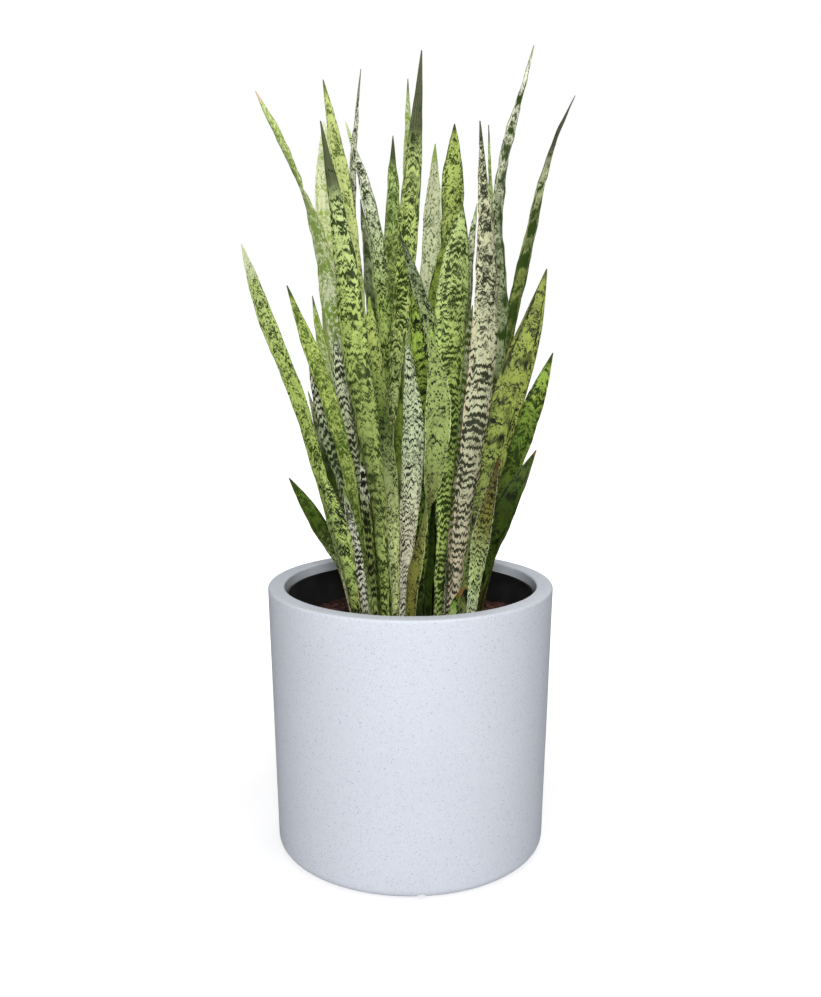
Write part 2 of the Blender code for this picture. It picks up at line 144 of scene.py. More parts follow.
class Wire:
    def __init__(self, tree, socket=None):
        self.tree, self.socket = tree, socket

    def node(self, kind, settings=None, inputs=None, output=0):
        made = self.tree.nodes.new(kind)
        for name, value in (settings or {}).items():
            if name == "stops":
                ramp = made.color_ramp
                while len(ramp.elements) < len(value):
                    ramp.elements.new(0.5)
                for element, (place, shade) in zip(ramp.elements, value):
                    element.position, element.color = place, shade
            else:
                setattr(made, name, value)
        for name, value in (inputs or {}).items():
            if isinstance(value, Wire):
                self.tree.links.new(value.socket, made.inputs[name])
            else:
                made.inputs[name].default_value = value
        return Wire(self.tree, made.outputs[output])

    def math(self, operation, *values, clamp=False):
        inputs = dict(enumerate(values))
        return self.node("ShaderNodeMath", {"operation": operation, "use_clamp": clamp}, inputs)

    def __add__(self, other):
        return self.math("ADD", self, other)

    def __radd__(self, other):
        return self.math("ADD", other, self)

    def __sub__(self, other):
        return self.math("SUBTRACT", self, other)

    def __rsub__(self, other):
        return self.math("SUBTRACT", other, self)

    def __mul__(self, other):
        return self.math("MULTIPLY", self, other)

    def __truediv__(self, other):
        return self.math("DIVIDE", self, other)

    def clamp(self):
        return self.math("ADD", self, 0.0, clamp=True)

    def most(self, other):
        return self.math("MAXIMUM", self, other)

    def above(self, level, width):
        # 0 below the level, 1 above it, with a soft step of that width
        return ((self - level) / width + 0.5).clamp()

    def attribute(self, name, output="Vector"):
        return self.node("ShaderNodeAttribute", {"attribute_name": name}, output=output)

    def parts(self):
        split = self.node("ShaderNodeSeparateXYZ", inputs={"Vector": self})
        outputs = split.socket.node.outputs
        return [Wire(self.tree, outputs[i]) for i in range(3)]

    def spot(self, x, y, z):
        return self.node("ShaderNodeCombineXYZ", inputs={"X": x, "Y": y, "Z": z})

    def noise(self, place, scale, detail=0.0, roughness=0.5):
        inputs = {"Vector": place, "Scale": scale, "Detail": detail, "Roughness": roughness}
        return self.node("ShaderNodeTexNoise", {"noise_dimensions": "3D"}, inputs)

    def cells(self, place, scale=1.0):
        # the distance to the middle of the nearest cell
        inputs = {"Vector": place, "Scale": scale}
        return self.node("ShaderNodeTexVoronoi", {"feature": "F1"}, inputs, "Distance")

    def blend(self, low, high, share, how="MIX"):
        # low where the share is 0, high where it is 1
        settings = {"data_type": "RGBA", "blend_type": how}
        return self.node("ShaderNodeMix", settings, {0: share, 6: low, 7: high}, 2)


def newMaterial(name, look):
    made = bpy.data.materials.new(name)
    made.use_nodes = True
    shader = made.node_tree.nodes["Principled BSDF"]
    for socket, value in look.items():
        shader.inputs[socket].default_value = value
    return made, shader, Wire(made.node_tree)


def plug(wire, socket):
    wire.tree.links.new(wire.socket, socket)


def bump(wire, height, strength, distance, shader):
    inputs = {"Height": height, "Strength": strength, "Distance": distance}
    plug(wire.node("ShaderNodeBump", inputs=inputs), shader.inputs["Normal"])


# camera, floor and light

stageLook = {
    "eye": (0.0, -1.459, 0.738),
    "downwards": 9.4,  # degrees
    "lens": 38.2,
    "aim": (0, 0, 0.55),  # where the lamps point
    "floor": (0.60, 0.60, 0.61, 1.0),
    "floorRadius": 12,
    "floorDrop": 0.0005,  # keeps the floor just clear of the planter's foot
    "floorGlow": 0.56,  # how much the camera sees the floor glow beside the planter
    "glowFrom": 0.3,  # the radius where the glow starts to grow
    "ambient": 0.22,
}
lamps = {  # place, size and power of each soft light
    "keyLight": ((0.05, -3.3, 1.8), 1.0, 88),
    "fillLight": ((-1.3, -3.0, 1.2), 1.6, 6),
    "topLight": ((0.1, -0.5, 3.0), 1.6, 20),
    "backLight": ((0.8, 2.6, 2.2), 2.0, 18),
}


def buildStage():
    camera = bpy.data.objects.new("camera", bpy.data.cameras.new("camera"))
    scene.collection.objects.link(camera)
    camera.location = stageLook["eye"]
    camera.rotation_euler = (math.radians(90 - stageLook["downwards"]), 0, 0)
    camera.data.lens = stageLook["lens"]
    camera.data.sensor_width = 36
    scene.camera = camera
    aim = Vector(stageLook["aim"])
    for name, (place, size, power) in lamps.items():
        lamp = bpy.data.objects.new(name, bpy.data.lights.new(name, "AREA"))
        scene.collection.objects.link(lamp)
        lamp.data.shape = "DISK"
        lamp.data.size = size
        lamp.data.energy = power
        lamp.location = place
        lamp.rotation_euler = (aim - lamp.location).to_track_quat("-Z", "Y").to_euler()
    bpy.ops.object.select_all(action="DESELECT")
    spot = (0, 0, -stageLook["floorDrop"])
    radius = stageLook["floorRadius"]
    bpy.ops.mesh.primitive_circle_add(vertices=64, radius=radius, fill_type="NGON", location=spot)
    floor = bpy.context.object
    floor.name = "floor"
    bake(floor)
    made, shader, wire = newMaterial("floorPaint", {"Roughness": 0.9, "Specular IOR Level": 0.0})
    shader.inputs["Base Color"].default_value = stageLook["floor"]
    shader.inputs["Emission Strength"].default_value = 1.0
    x, y = wire.node("ShaderNodeTexCoord", output="Object").parts()[:2]
    away = (wire.math("SQRT", x * x + y * y) - stageLook["glowFrom"]).clamp()
    glow = (away * (1 - stageLook["floorGlow"]) + stageLook["floorGlow"]) * wire.node("ShaderNodeLightPath")
    plug(wire.spot(glow, glow, glow), shader.inputs["Emission Color"])
    floor.data.materials.append(made)
    world = bpy.data.worlds.new("studio")
    world.use_nodes = True
    scene.world = world
    wire = Wire(world.node_tree)
    seen = wire.node("ShaderNodeLightPath")
    background = world.node_tree.nodes["Background"]
    background.inputs["Color"].default_value = (1.0, 1.0, 1.0, 1.0)
    plug(seen * (1 - stageLook["ambient"]) + stageLook["ambient"], background.inputs["Strength"])


buildStage()
print("camera, floor and light are in place")


# planter

planterLook = {
    "sides": 192,
    "wall": 0.008,
    "floor": 0.014,
    "rimDepth": 0.024,
    "rimRound": 0.0038,
    "mouthRound": 0.0026,
    "lipRound": 0.003,
    "baseRound": 0.013,
    "floorRound": 0.006,
    "ringCuts": 11,
    "drainHole": 0.006,
    "drainCircle": 0.110,
    "drainChannel": 0.007,
    "drainTurns": (-85.6, 4.4, 94.4, 184.4),  # degrees
    "unevenness": 0.0004,  # how far the moulded wall strays from a true circle
    "lipUnevenness": 0.0012,
    "evenWithin": 0.12,  # the middle of the foot and of the floor stays true
    "paint": colour(216, 221, 230),
    "shade": colour(198, 203, 214),
    "speck": colour(120, 128, 142),
    "paleSpeck": colour(244, 247, 251),
}


def planterMaterial():
    look = {"Roughness": 0.62, "Specular IOR Level": 0.35}
    made, shader, wire = newMaterial("planterPlastic", look)
    place = wire.node("ShaderNodeTexCoord", output="Object")
    cloud = wire.noise(place, 9.0, 3.0)
    grain = wire.noise(place, 420.0, 2.0, 0.7)
    shaded = cloud.above(0.5, 0.6) * 0.22 + grain.above(0.57, 0.2) * 0.5
    paint = wire.blend(planterLook["paint"], planterLook["shade"], shaded)
    specks = 1 - wire.cells(place, 430.0).above(0.27, 0.12)
    chosen = wire.noise(place, 240.0, 0.0).above(0.60, 0.05)
    paint = wire.blend(paint, planterLook["speck"], specks * chosen * 0.55)
    flecks = 1 - wire.cells(place, 380.0).above(0.22, 0.1)
    chosen = wire.noise(place, 160.0, 0.0).above(0.60, 0.05)
    paint = wire.blend(paint, planterLook["paleSpeck"], flecks * chosen * 0.5)
    plug(paint, shader.inputs["Base Color"])
    plug(0.56 + grain * 0.12, shader.inputs["Roughness"])
    bump(wire, grain * 0.5 + wire.noise(place, 60.0, 2.0), 0.35, 0.0006, shader)
    return made


def potBody(name, sides, baseRadius, topRadius, bottom, top):
    # a closed cylinder between two heights, with its upper end made wider
    bpy.ops.object.select_all(action="DESELECT")
    bpy.ops.mesh.primitive_cylinder_add(
        vertices=sides, radius=baseRadius, depth=top - bottom, location=(0, 0, (top + bottom) / 2)
    )
    piece = bpy.context.object
    piece.name = name
    bake(piece)
    startEdit(piece)
    pickFaces(piece, lambda face: face.normal.z > 0.9)
    share = topRadius / baseRadius
    bpy.ops.transform.resize(value=(share, share, 1), center_override=(0, 0, top))
    return piece


def sinkTo(radius, height, newRadius, newHeight):
    # in edit mode: the picked end face goes on as a wall to a new radius and height
    bpy.ops.mesh.extrude_region_move(TRANSFORM_OT_translate={"value": (0, 0, newHeight - height)})
    share = newRadius / radius
    bpy.ops.transform.resize(value=(share, share, 1), center_override=(0, 0, newHeight))


def roundRing(piece, radius, height, size, steps):
    bpy.ops.mesh.select_mode(type="EDGE")
    pickEdges(piece, ringAt(radius, height))
    bpy.ops.mesh.bevel(offset=size, offset_type="OFFSET", segments=steps, profile=0.5)


def cutAway(piece, cutters):
    for cutter in cutters:
        modifier = piece.modifiers.new("cut", "BOOLEAN")
        modifier.operation = "DIFFERENCE"
        modifier.solver = "EXACT"
        modifier.object = cutter
        pickOnly(piece)
        bpy.ops.object.modifier_apply(modifier=modifier.name)
        bpy.data.objects.remove(cutter, do_unlink=True)


def rod(radius, length, place, turn=0.0, lying=False):
    bpy.ops.object.select_all(action="DESELECT")
    tilt = (0, math.pi / 2, turn) if lying else (0, 0, 0)
    bpy.ops.mesh.primitive_cylinder_add(
        vertices=32, radius=radius, depth=length, location=place, rotation=tilt
    )
    made = bpy.context.object
    bake(made)
    return made


def buildPlanter():
    low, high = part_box("planter")
    top, outer = high.z, high.x
    base = radiiOf("planter", 0.011, 0.02)[1]
    mouth = radiiOf("planter", top - 0.026, top - 0.004)[0]
    wall = planterLook["wall"]
    rimUnder = top - planterLook["rimDepth"]
    inner = outer - wall
    piece = potBody("planter_shell", planterLook["sides"], base, outer, low.z, top)
    bpy.ops.mesh.inset(thickness=outer - mouth, depth=0)
    sinkTo(mouth, top, mouth, rimUnder)
    sinkTo(mouth, rimUnder, inner, rimUnder - (inner - mouth))
    sinkTo(inner, rimUnder - (inner - mouth), base - wall, planterLook["floor"])
    roundRing(piece, outer, top, planterLook["rimRound"], 7)
    roundRing(piece, mouth, top, planterLook["mouthRound"], 6)
    roundRing(piece, mouth, rimUnder, planterLook["lipRound"], 3)
    roundRing(piece, base, low.z, planterLook["baseRound"], 7)
    roundRing(piece, base - wall, planterLook["floor"], planterLook["floorRound"], 3)
    bpy.ops.mesh.select_mode(type="FACE")
    pickFaces(piece, lambda face: abs(face.normal.z) < 0.3 and face.calc_area() > 0.0005)
    bpy.ops.mesh.subdivide(number_cuts=planterLook["ringCuts"])
    endEdit()
    for vert in piece.data.vertices:  # a moulded wall is never quite true
        radius = math.hypot(vert.co.x, vert.co.y)
        if radius > planterLook["evenWithin"]:
            stray = noise.noise(vert.co * 7.0) * planterLook["unevenness"]
            stray += noise.noise(vert.co * 26.0) * planterLook["unevenness"] * 0.4
            if radius < mouth + 0.006 and vert.co.z > rimUnder - 0.02:
                stray += noise.noise(vert.co * 18.0) * planterLook["lipUnevenness"]
            vert.co.x *= 1 + stray / radius
            vert.co.y *= 1 + stray / radius
    cutters = []
    circle = planterLook["drainCircle"]
    for turn in planterLook["drainTurns"]:
        way = Vector((math.cos(math.radians(turn)), math.sin(math.radians(turn)), 0))
        middle = way * (circle + base / 2)
        cutters.append(rod(planterLook["drainHole"], 0.05, way * circle))
        cutters.append(rod(planterLook["drainChannel"], base, middle, math.radians(turn), True))
    cutAway(piece, cutters)
    smooth(piece, 40)
    piece.data.materials.clear()
    piece.data.materials.append(planterMaterial())
    finishPiece(piece, "planter", "planter")


buildPlanter()
print("planter is turned")


# grow pot

growPotLook = {
    "sides": 128,
    "wall": 0.0025,
    "bandStep": 0.002,
    "bandDepth": 0.022,
    "rimRound": 0.0009,
    "paint": colour(11, 11, 13),
    "scuff": colour(30, 27, 27),
}


def growPotMaterial():
    made, shader, wire = newMaterial("growPotPlastic", {"Roughness": 0.5, "Specular IOR Level": 0.4})
    place = wire.node("ShaderNodeTexCoord", output="Object")
    x, y, z = place.parts()
    dust = wire.noise(place, 30.0, 4.0, 0.65).above(0.55, 0.25)
    scratches = wire.noise(wire.spot(x * 90, y * 90, z * 900), 1.0, 1.0).above(0.62, 0.1)
    worn = dust * 0.5 + scratches * 0.25
    plug(wire.blend(growPotLook["paint"], growPotLook["scuff"], worn), shader.inputs["Base Color"])
    plug(0.42 + dust * 0.3, shader.inputs["Roughness"])
    bump(wire, wire.noise(place, 900.0, 1.0), 0.2, 0.0003, shader)
    return made


def buildGrowPot():
    low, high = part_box("grow_pot")
    wall = growPotLook["wall"]
    outer = high.x
    body = outer - growPotLook["bandStep"]
    band = high.z - growPotLook["bandDepth"]
    base = radiiOf("grow_pot", low.z - 0.001, low.z + 0.001)[1]
    piece = potBody("grow_pot_shell", growPotLook["sides"], base, body, low.z, band)
    bpy.ops.mesh.extrude_region_move()
    share = outer / body
    bpy.ops.transform.resize(value=(share, share, 1), center_override=(0, 0, band))
    bpy.ops.mesh.extrude_region_move(TRANSFORM_OT_translate={"value": (0, 0, high.z - band)})
    bpy.ops.mesh.inset(thickness=wall, depth=0)
    sinkTo(outer - wall, high.z, outer - wall, band + wall)
    sinkTo(outer - wall, band + wall, body - wall, band)
    sinkTo(body - wall, band, base - wall, low.z + wall)
    roundRing(piece, outer, high.z, growPotLook["rimRound"], 3)
    roundRing(piece, outer - wall, high.z, growPotLook["rimRound"], 3)
    endEdit()
    smooth(piece, 40)
    piece.data.materials.clear()
    piece.data.materials.append(growPotMaterial())
    finishPiece(piece, "grow_pot", "grow_pot")


buildGrowPot()
print("grow pot is in")


# potting mix and bark

soilLook = {
    "sides": 96,
    "rings": 30,
    "lumps": 0.0035,
    "crownHeight": 0.010,  # from the edge of the mix up to its crown
    "slope": 0.014,  # how wide the crown's slope is
    "slopeOut": 0.006,  # how far it runs out past the crown
    "low": 0.002,  # how far the crown stays under the solid, to leave room for lumps
    "dark": colour(30, 21, 16),
    "light": colour(74, 52, 38),
}
barkLook = {
    "chips": 760,
    "crumbs": 420,
    "length": (0.008, 0.024),
    "width": (0.35, 0.7),  # shares of the length
    "thickness": (0.14, 0.28),
    "crumbSize": 0.35,  # share of a chip's length
    "depth": 0.009,  # how far down the deepest chips lie
    "tilt": 0.22,
    "shapes": 7,
    "seed": 7,
    "dark": colour(30, 18, 16),
    "middle": colour(62, 38, 34),
    "light": colour(112, 76, 66),
}


def soilMaterial():
    made, shader, wire = newMaterial("pottingMix", {"Roughness": 0.95, "Specular IOR Level": 0.15})
    place = wire.node("ShaderNodeTexCoord", output="Object")
    lumps = wire.noise(place, 160.0, 5.0, 0.7)
    dry = lumps.above(0.56, 0.25) * 0.8
    plug(wire.blend(soilLook["dark"], soilLook["light"], dry), shader.inputs["Base Color"])
    bump(wire, lumps + wire.noise(place, 700.0, 2.0) * 0.4, 0.9, 0.002, shader)
    return made


def barkMaterial():
    made, shader, wire = newMaterial("barkChips", {"Roughness": 0.85, "Specular IOR Level": 0.2})
    place = wire.node("ShaderNodeTexCoord", output="Object")
    tone = wire.attribute("tone", "Fac")
    grain = wire.noise(place, 260.0, 4.0, 0.65)
    stops = [(0.0, barkLook["dark"]), (0.55, barkLook["middle"]), (1.0, barkLook["light"])]
    level = (tone * 0.75 + (grain - 0.5) * 0.9 + 0.05).clamp()
    shade = wire.node("ShaderNodeValToRGB", {"stops": stops}, {"Fac": level})
    plug(shade, shader.inputs["Base Color"])
    bump(wire, grain, 0.8, 0.0012, shader)
    return made


def buildSoil():
    low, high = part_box("potting_mix")
    crown = radiiOf("potting_mix", high.z - 0.0005, high.z + 0.0005)[1]
    shoulder = high.z - soilLook["crownHeight"]
    base = radiiOf("potting_mix", low.z - 0.001, low.z + 0.001)[1]
    rim = radiiOf("potting_mix", shoulder - 0.001, shoulder + 0.001)[1]
    piece = potBody("potting_mix_surface", soilLook["sides"], base, rim, low.z, shoulder)
    step = rim / (soilLook["rings"] + 1)
    for _ in range(soilLook["rings"]):
        bpy.ops.mesh.inset(thickness=step, depth=0)
    endEdit()
    for vert in piece.data.vertices:
        radius = math.hypot(vert.co.x, vert.co.y)
        if vert.co.z > shoulder - 0.001 and radius < rim - 0.001:
            raised = min(max((crown + soilLook["slopeOut"] - radius) / soilLook["slope"], 0), 1)
            lumps = noise.fractal(vert.co * 55, 1.0, 2.0, 4) * soilLook["lumps"]
            vert.co.z += raised * (high.z - shoulder - soilLook["low"]) + lumps * (0.4 + 0.6 * raised)
            vert.co.z = min(vert.co.z, high.z + 0.001)
    smooth(piece, 60)
    piece.data.materials.clear()
    piece.data.materials.append(soilMaterial())
    finishPiece(piece, "potting_mix", "potting_mix")
    return crown, rim


def chipShape(name, seed):
    # a split flake of bark: a block bent and chipped at its corners
    bpy.ops.object.select_all(action="DESELECT")
    bpy.ops.mesh.primitive_cube_add(size=1)
    chip = bpy.context.object
    chip.name = name
    startEdit(chip)
    bpy.ops.mesh.select_all(action="SELECT")
    bpy.ops.mesh.subdivide(number_cuts=1)
    endEdit()
    for vert in chip.data.vertices:
        taper = 0.5 + 0.5 * noise.noise(Vector((seed, vert.co.x * 2, 0)))
        vert.co.y *= 1 - 0.45 * abs(vert.co.x) * 2 * taper
        vert.co.z *= 1 - 0.5 * abs(vert.co.x)
        vert.co += noise.noise_vector(vert.co * 2.3 + Vector((seed * 7.3, seed * 3.1, 0))) * 0.22
    return chip


def scatterChips(crown, rim):
    draw = random.Random(barkLook["seed"])
    noise.seed_set(barkLook["seed"])  # without it noise_vector differs from run to run
    shapes = [chipShape(f"chip_{i}", i + 1) for i in range(barkLook["shapes"])]
    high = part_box("bark_mulch")[1]
    chips = []
    for i in range(barkLook["chips"] + barkLook["crumbs"]):
        crumb = i >= barkLook["chips"]
        length = draw.uniform(*barkLook["length"]) * (barkLook["crumbSize"] if crumb else 1.0)
        across = length * draw.uniform(*barkLook["width"])
        thick = length * draw.uniform(*barkLook["thickness"])
        inner = 0.0 if crumb else crown - 0.008
        outer = rim - length * 0.5 - 0.001
        radius = math.sqrt(draw.uniform(inner * inner, outer * outer))
        turn = draw.uniform(0, math.tau)
        chip = draw.choice(shapes).copy()
        chip.data = chip.data.copy()
        scene.collection.objects.link(chip)
        bed = high.z if crumb and radius < crown else high.z - draw.uniform(0.0, barkLook["depth"])
        spot = Matrix.Translation((radius * math.cos(turn), radius * math.sin(turn), bed - thick * 0.3))
        pitch = Matrix.Rotation(draw.gauss(0, barkLook["tilt"]), 4, "X")
        roll = Matrix.Rotation(draw.gauss(0, barkLook["tilt"]), 4, "Y")
        spin = Matrix.Rotation(draw.uniform(0, math.tau), 4, "Z")
        chip.data.transform(spot @ spin @ (pitch @ roll) @ Matrix.Diagonal((length, across, thick, 1)))
        tone = chip.data.attributes.new("tone", "FLOAT", "POINT")
        shade = draw.random()
        for value in tone.data:
            value.value = shade
        chips.append(chip)
    for shape in shapes:
        bpy.data.objects.remove(shape, do_unlink=True)
    pickOnly(*chips)
    bpy.ops.object.join()
    pile = bpy.context.object
    pile.name = "bark_chips"
    pile.data.materials.clear()
    pile.data.materials.append(barkMaterial())
    finishPiece(pile, "bark_mulch", "bark_mulch")


soilCrown, soilRim = buildSoil()
scatterChips(soilCrown, soilRim)
print("soil and bark are laid")


# leaves

paints = {
    "white": colour(232, 230, 205),
    "cream": colour(224, 214, 182),
    "silver": colour(200, 206, 166),
    "bone": colour(204, 192, 162),
    "ash": colour(176, 178, 146),
    "frost": colour(228, 236, 200),
    "mint": colour(206, 222, 150),
    "pear": colour(192, 208, 130),
    "lime": colour(178, 198, 106),
    "apple": colour(156, 182, 78),
    "citron": colour(154, 164, 76),
    "reed": colour(154, 168, 96),
    "fern": colour(132, 158, 66),
    "moss": colour(134, 146, 78),
    "olive": colour(130, 128, 60),
    "leaf": colour(102, 130, 50),
    "deep": colour(74, 98, 34),
    "bottle": colour(52, 72, 22),
    "slate": colour(104, 120, 86),
    "sage": colour(156, 174, 126),
    "pink": colour(220, 190, 162),
    "straw": colour(188, 170, 112),
    "rust": colour(132, 88, 44),
    "umber": colour(98, 86, 46),
    "brown": colour(80, 58, 32),
    "shade": colour(70, 92, 32),
    "forest": colour(42, 58, 16),
    "charcoal": colour(46, 50, 32),
    "ink": colour(24, 30, 12),
}
patterns = {  # how much there is of blotches, dashes, dots, thin lines and wavy bands; spacing in metres
    "zigzag": (0.3, 0.6, 0.4, 0.0, 1.0, 0.0095),
    "broken": (0.35, 0.9, 0.4, 0.3, 0.75, 0.0115),
    "rings": (0.4, 0.6, 0.2, 0.6, 0.95, 0.011),
    "mottled": (0.4, 1.0, 0.6, 0.2, 0.65, 0.011),
    "speckled": (0.3, 1.0, 1.0, 0.0, 0.4, 0.009),
    "lattice": (0.3, 0.7, 0.8, 1.0, 0.35, 0.0085),
    "dotted": (0.2, 0.75, 1.0, 0.4, 0.4, 0.010),
    "fine": (0.1, 0.7, 1.0, 0.3, 0.2, 0.008),
    "sparse": (0.75, 0.75, 0.8, 1.0, 0.3, 0.022),
    "plain": (0.75, 0.8, 0.4, 0.3, 0.3, 0.014),
    "bars": (0.95, 0.85, 0.4, 0.3, 0.5, 0.016),
}
# the colours from foot to top mix each leaf's own colour with painted light and painted shade: lighter where
# the lamps leave a leaf in shade among the others, darker where a leaf stands in deep shade
leafLooks = {  # pattern or patterns, colour of the marks, colours from foot to top, tip and its length, edge
    "leaf_01": ("mottled", "fern", ("mint", "frost", "frost", "mint"), ("pink", 0.018), "straw"),
    "leaf_02": ("fine", "apple", ("white", "mint", "pear", "frost"), ("mint", 0.01), "frost"),
    "leaf_03": ("broken", "forest", ("lime", "moss", "lime", "mint"), ("charcoal", 0.10), "moss"),
    "leaf_04": ("broken fine", "shade", ("moss", "lime", "pear", "pear"), ("shade", 0.02), "moss"),
    "leaf_05": ("mottled", "charcoal", ("leaf", "deep", "silver", "frost"), ("slate", 0.05), "deep"),
    "leaf_06": ("speckled", "forest", ("deep", "lime", "lime", "white"), ("pear", 0.03), "moss"),
    "leaf_07": ("plain", "bottle", ("lime", "bottle", "deep", "silver"), ("bottle", 0.04), "deep"),
    "leaf_08": ("mottled", "shade", ("fern", "lime", "lime", "pear"), ("charcoal", 0.05), "shade"),
    "leaf_09": ("mottled", "forest", ("mint", "mint", "lime", "pear"), ("charcoal", 0.13), "moss"),
    # leaf_10: the white foot and middle are painted light on a leaf in shade among the others
    "leaf_10": ("mottled", "fern", ("white", "white", "silver", "silver"), ("shade", 0.03), "moss"),
    "leaf_11": ("speckled", "ink", ("silver", "silver", "pear", "sage"), ("charcoal", 0.02), "silver"),
    # leaf_12: the ink foot is painted shade between the leaves
    "leaf_12": ("mottled", "ink", ("ink", "fern", "apple", "apple"), ("apple", 0.01), "leaf"),
    "leaf_13": ("fine", "ink", ("olive", "olive", "reed", "reed"), ("apple", 0.01), "mint"),
    # leaf_14: the white foot is painted light where the foot lies in shade
    "leaf_14": ("lattice", "ink", ("white", "cream", "silver", "silver"), ("moss", 0.02), "moss"),
    # leaf_15: the deep third quarter is painted shade where the leaf is behind others
    "leaf_15": ("dotted", "ink", ("mint", "mint", "deep", "lime"), ("fern", 0.02), "moss"),
    # leaf_16: the deep foot is painted shade between the leaves
    "leaf_16": ("rings", "charcoal", ("deep", "slate", "silver", "frost"), ("leaf", 0.02), "leaf"),
    "leaf_17": ("rings", "ink", ("pear", "moss", "moss", "white"), ("leaf", 0.02), "leaf"),
    # leaf_18: the cream foot is painted light where the foot lies in shade
    "leaf_18": ("dotted", "forest", ("cream", "lime", "lime", "pear"), ("silver", 0.05), "moss"),
    "leaf_19": ("mottled", "ink", ("olive", "lime", "lime", "lime"), ("moss", 0.01), "straw"),
    # leaf_20: the white foot is painted light where the foot lies in shade
    "leaf_20": ("speckled", "forest", ("white", "mint", "deep", "leaf"), ("forest", 0.01), "rust"),
    "leaf_21": ("plain", "bottle", ("frost", "lime", "bottle", "silver"), ("leaf", 0.01), "leaf"),
    "leaf_22": ("mottled", "deep", ("mint", "reed", "lime", "lime"), ("forest", 0.02), "moss"),
    # leaf_23: the frost and white are painted light on a leaf shaded by the others
    "leaf_23": ("rings zigzag", "charcoal", ("frost", "silver", "sage", "white"), ("leaf", 0.02), "olive"),
    # leaf_24: the cream and white are painted light on a leaf shaded by the others
    "leaf_24": ("zigzag broken", "charcoal", ("cream", "white", "white", "silver"), ("leaf", 0.02), "moss"),
    # leaf_25: the frost is painted light on a leaf shaded by the others
    "leaf_25": ("mottled", "fern", ("frost", "frost", "frost", "mint"), ("shade", 0.02), "moss"),
    "leaf_26": ("plain", "shade", ("lime", "pear", "fern", "apple"), ("deep", 0.02), "deep"),
    "leaf_27": ("plain", "bottle", ("lime", "white", "lime", "frost"), ("deep", 0.02), "deep"),
    # leaf_28: the bottle green from foot to top is painted shade; the leaf stands in deep shade
    "leaf_28": ("plain", "ink", ("bottle", "bottle", "bottle", "bottle"), ("bottle", 0.02), "deep"),
    "leaf_29": ("speckled", "forest", ("pear", "silver", "reed", "lime"), ("ink", 0.018), "moss"),
    # leaf_30: the ink foot and deep lower part are painted shade between the leaves
    "leaf_30": ("fine", "shade", ("ink", "deep", "silver", "silver"), ("fern", 0.03), "mint"),
    "leaf_31": ("zigzag broken", "forest", ("reed", "lime", "lime", "pear"), ("shade", 0.01), "moss"),
    # leaf_32: the ink and bottle in the lower half are painted shade between the leaves
    "leaf_32": ("plain", "ink", ("ink", "bottle", "deep", "fern"), ("deep", 0.02), "deep"),
    "leaf_33": ("mottled", "shade", ("white", "leaf", "fern", "frost"), ("sage", 0.02), "leaf"),
    "leaf_34": (
        "zigzag speckled", "charcoal", ("bone", "ash", "silver", "silver"), ("charcoal", 0.03), "pink"
    ),
    # leaf_35: the ink foot and deep lower part are painted shade between the leaves
    "leaf_35": ("mottled", "leaf", ("ink", "deep", "frost", "pear"), ("forest", 0.03), "leaf"),
    # leaf_36: the forest foot and deep lower part are painted shade between the leaves
    "leaf_36": ("bars", "bottle", ("forest", "deep", "silver", "white"), ("moss", 0.02), "deep"),
    "leaf_37": ("bars", "bottle", ("pear", "moss", "moss", "silver"), ("ink", 0.12), "sage"),
    "leaf_38": ("sparse", "ink", ("moss", "moss", "citron", "citron"), ("shade", 0.01), "umber"),
    "leaf_39": ("mottled", "forest", ("brown", "brown", "leaf", "apple"), ("forest", 0.02), "straw"),
    "leaf_40": ("plain", "ink", ("umber", "deep", "bottle", "deep"), ("rust", 0.01), "deep"),
    "leaf_41": ("lattice", "ink", ("frost", "mint", "olive", "umber"), ("brown", 0.02), "white"),
    "leaf_42": ("plain", "ink", ("pear", "mint", "fern", "bottle"), ("rust", 0.02), "lime"),
    "leaf_43": ("rings", "shade", ("cream", "cream", "sage", "silver"), ("leaf", 0.02), "silver"),
    "leaf_44": ("bars", "bottle", ("deep", "leaf", "leaf", "sage"), ("deep", 0.02), "leaf"),
    "leaf_45": ("mottled", "forest", ("moss", "fern", "lime", "lime"), ("shade", 0.02), "moss"),
    "leaf_46": (
        "zigzag speckled", "charcoal", ("cream", "silver", "silver", "silver"), ("leaf", 0.02), "moss"
    ),
    "leaf_47": ("bars", "bottle", ("deep", "leaf", "leaf", "fern"), ("forest", 0.03), "leaf"),
    "leaf_48": ("broken", "forest", ("fern", "lime", "lime", "lime"), ("shade", 0.02), "moss"),
    "leaf_49": ("lattice", "shade", ("fern", "mint", "mint", "mint"), ("fern", 0.02), "mint"),
    "leaf_50": ("bars", "bottle", ("deep", "leaf", "fern", "leaf"), ("forest", 0.03), "sage"),
    "leaf_51": ("mottled", "forest", ("olive", "fern", "lime", "lime"), ("straw", 0.02), "straw"),
    "leaf_52": ("rings", "ink", ("moss", "silver", "silver", "silver"), ("leaf", 0.02), "leaf"),
    "leaf_53": ("plain", "bottle", ("leaf", "deep", "leaf", "leaf"), ("forest", 0.02), "rust"),
    "leaf_54": ("sparse", "forest", ("olive", "citron", "lime", "apple"), ("rust", 0.01), "straw"),
    "leaf_55": ("mottled", "deep", ("frost", "white", "frost", "frost"), ("forest", 0.02), "deep"),
}
leafShape = {
    "levels": 3,
    "edgeCrease": 0.85,
    "ringPoints": 8,
    "rootDepth": 0.022,
    "wave": 0.0011,  # how far an edge waves to the front and the back
    "waves": ((0.085, 1.0), (0.041, 0.6), (0.019, 0.28)),  # length and share of each
    "fullWave": 0.018,  # leaves with less half width wave less
    "groove": 0.00016,  # depth of the long grooves
    "stillFoot": 0.08,  # waves and grooves fade out towards both ends
    "stillTip": 0.05,
}
